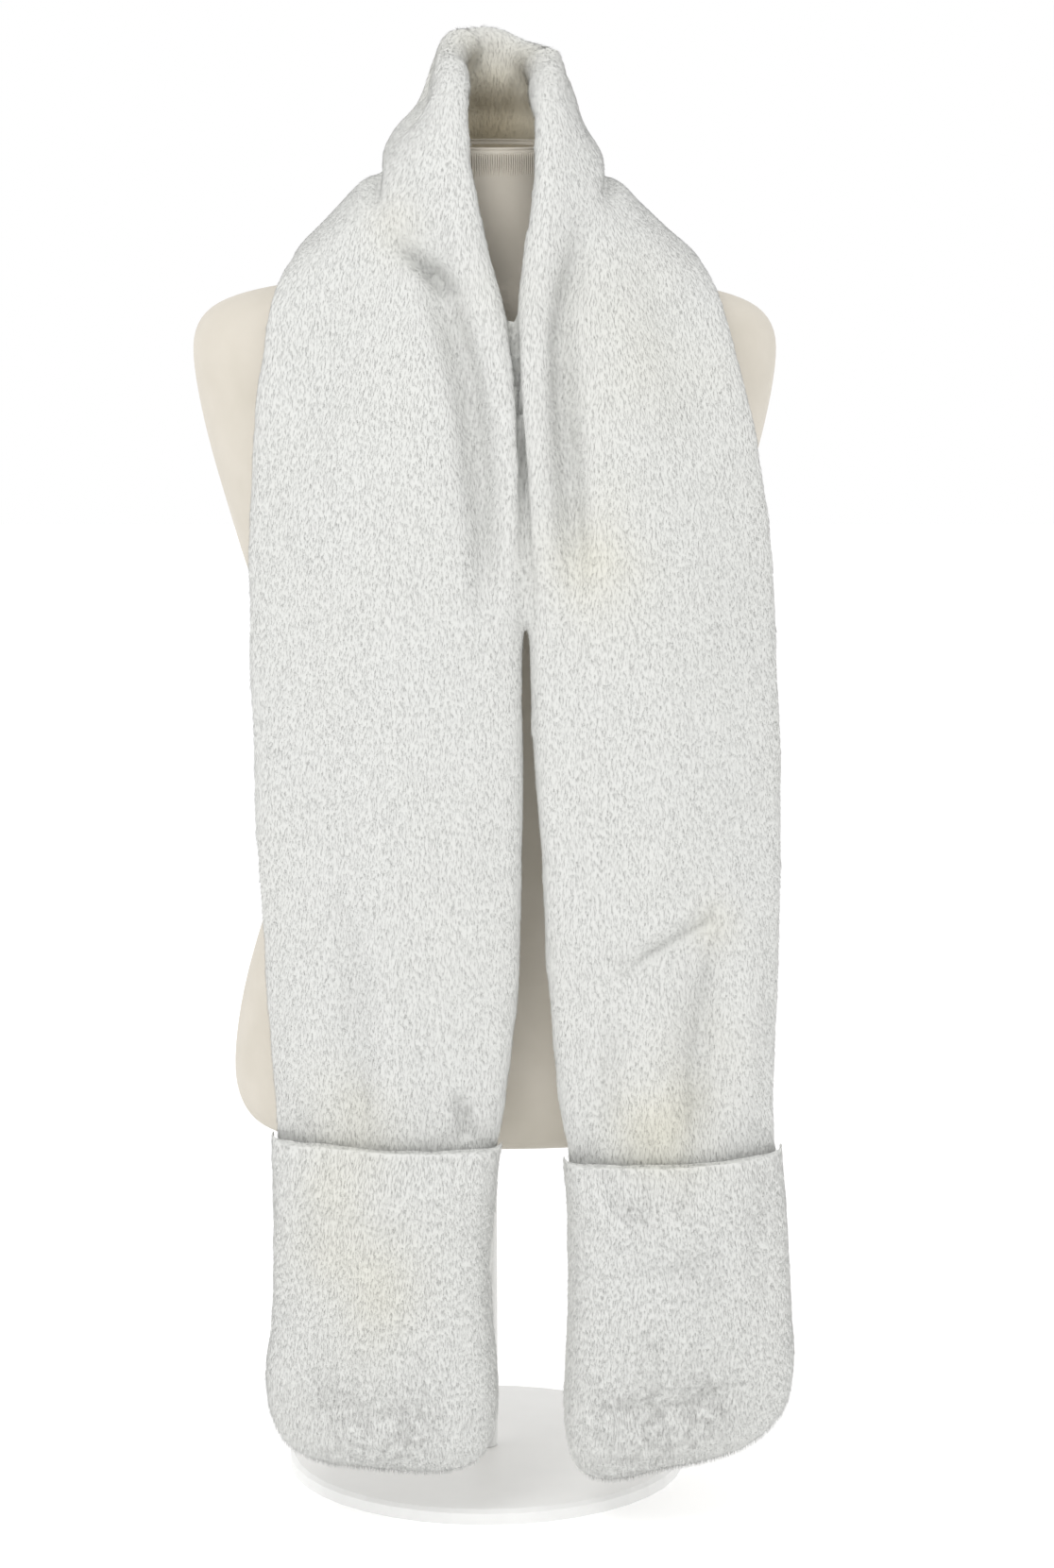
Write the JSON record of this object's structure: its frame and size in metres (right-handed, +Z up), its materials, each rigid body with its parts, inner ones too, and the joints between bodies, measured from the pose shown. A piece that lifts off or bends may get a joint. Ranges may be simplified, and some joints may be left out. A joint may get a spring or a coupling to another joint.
{
  "type": "pocket scarf on a dress form",
  "caption": "Long plush scarf with patch pockets at its ends, worn round the neck of a limbless dress form on a round base.",
  "frame": {"origin": "centre of the underside of the stand's round base, on the floor", "axes": "+Z up, the wearer's front and the scarf's hanging ends towards -Y, +X to the right in the picture (the wearer's left)"},
  "size_m": [0.397, 0.3093, 0.9712],
  "materials": {
    "plush": "short dense off-white plush pile",
    "plush_back": "short dense off-white plush pile, inner ply",
    "jersey": "cream knitted jersey",
    "lacquer": "white lacquer"
  },
  "bodies": {
    "root": {"scarf_face": "plush", "scarf_back": "plush_back", "pocket_left": "plush", "pocket_right": "plush", "dress_form": "jersey", "stand_pole": "lacquer", "stand_base": "lacquer"}
  },
  "joints": []
}
